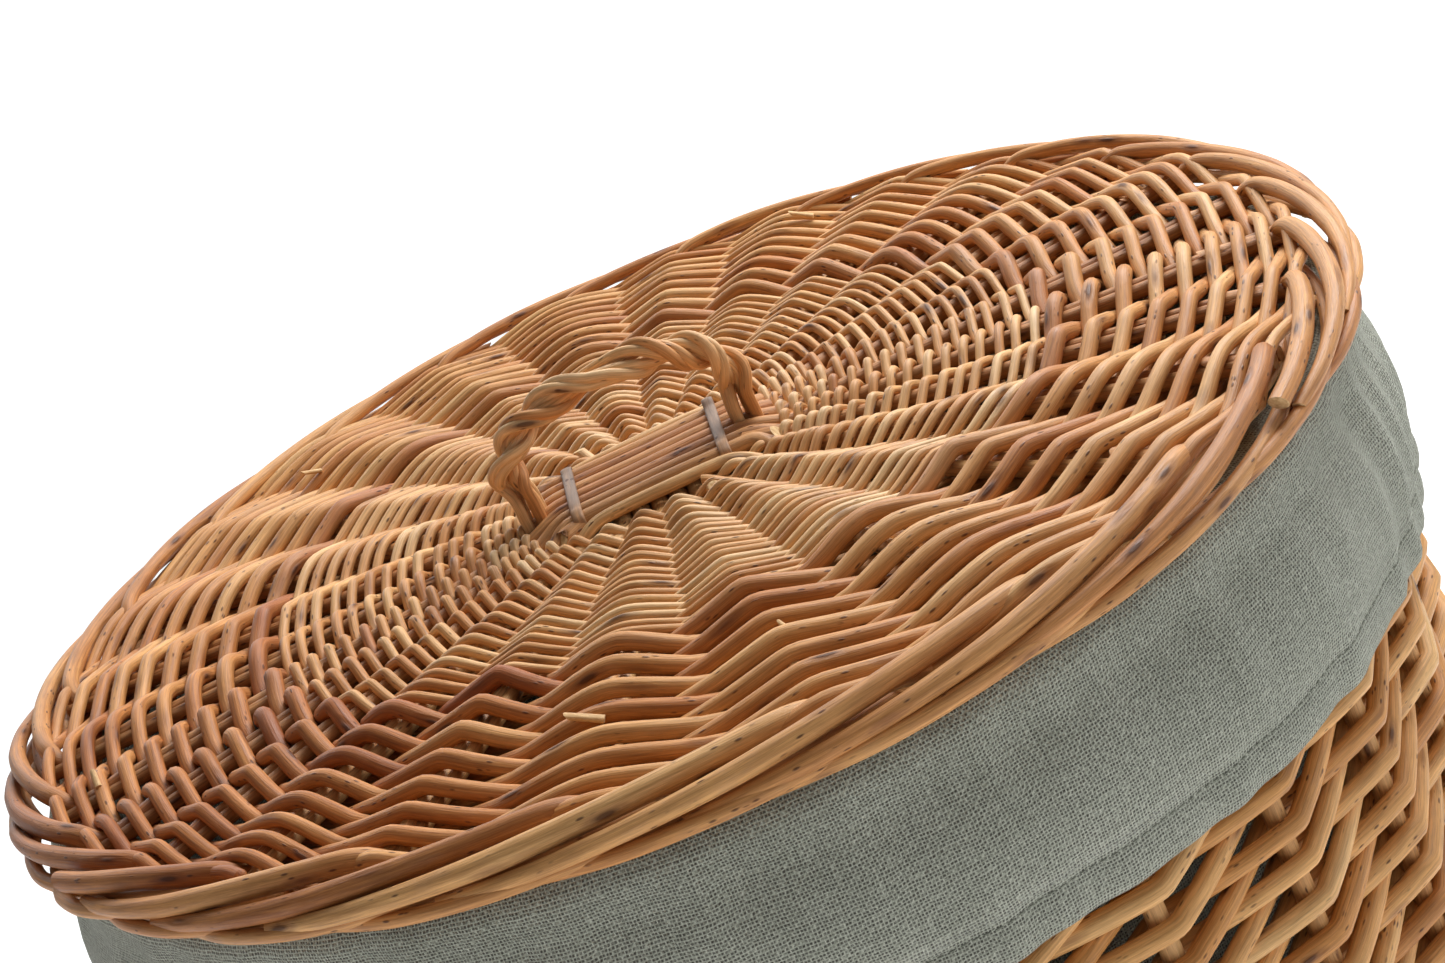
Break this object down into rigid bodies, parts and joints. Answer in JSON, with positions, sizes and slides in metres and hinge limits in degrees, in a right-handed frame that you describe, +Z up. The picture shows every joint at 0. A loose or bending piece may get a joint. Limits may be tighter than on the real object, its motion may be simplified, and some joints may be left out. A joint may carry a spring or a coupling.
{
  "type": "laundry basket",
  "caption": "Round woven willow laundry basket with a flat lift-off lid, a roped loop handle and a linen lining folded over the rim.",
  "frame": {"origin": "on the floor, under the middle of the basket", "axes": "+Z up; X runs along the lid's handle; the basket is round, so front and back look alike"},
  "size_m": [0.46, 0.46, 0.6113],
  "materials": {
    "lid_stick_willow": "buff willow rod, satin",
    "base_stick_willow": "buff willow rod, satin",
    "fine_willow": "thin straw-coloured willow, satin",
    "lid_willow": "buff willow, satin",
    "border_willow": "buff willow, satin",
    "lashing_willow": "split willow skein, grey-brown",
    "handle_willow": "twisted willow, satin",
    "wall_willow": "golden buff willow, satin",
    "stake_willow": "buff willow rod, satin",
    "linen": "plain-weave sage grey linen, matt",
    "elastic": "woven elastic tape, matt"
  },
  "bodies": {
    "basket": {"foot_border": "wall_willow", "base_upper_stick_1": "base_stick_willow", "base_upper_stick_2": "base_stick_willow", "base_upper_stick_3": "base_stick_willow", "base_upper_stick_4": "base_stick_willow", "base_lower_stick_1": "base_stick_willow", "base_lower_stick_2": "base_stick_willow", "base_lower_stick_3": "base_stick_willow", "base_weave": "wall_willow", "lower_wale": "wall_willow", "side_weave": "wall_willow", "side_stakes": "stake_willow", "rim_border": "wall_willow", "lining_wall_and_cuff": "linen", "lining_bottom_panel": "linen", "cuff_elastic": "elastic"},
    "lid": {"lid_upper_stick_1": "lid_stick_willow", "lid_upper_stick_2": "lid_stick_willow", "lid_upper_stick_3": "lid_stick_willow", "lid_upper_stick_4": "lid_stick_willow", "lid_upper_stick_5": "lid_stick_willow", "lid_upper_stick_6": "lid_stick_willow", "lid_upper_stick_7": "lid_stick_willow", "lid_lower_stick_1": "lid_stick_willow", "lid_lower_stick_2": "lid_stick_willow", "lid_lower_stick_3": "lid_stick_willow", "lid_lower_stick_4": "lid_stick_willow", "lid_lower_stick_5": "lid_stick_willow", "lid_lower_stick_6": "lid_stick_willow", "lid_inner_pairing": "fine_willow", "lid_fine_weave": "fine_willow", "lid_thick_weave": "lid_willow", "lid_border": "border_willow", "lid_lashing_left": "lashing_willow", "lid_lashing_right": "lashing_willow", "lid_handle_strand_1": "handle_willow", "lid_handle_strand_2": "handle_willow"}
  },
  "joints": [
    {"name": "lid_lift", "type": "slide", "parent": "basket", "child": "lid", "axis": [0, 0, 1], "range_m": [0, 0.35]}
  ]
}
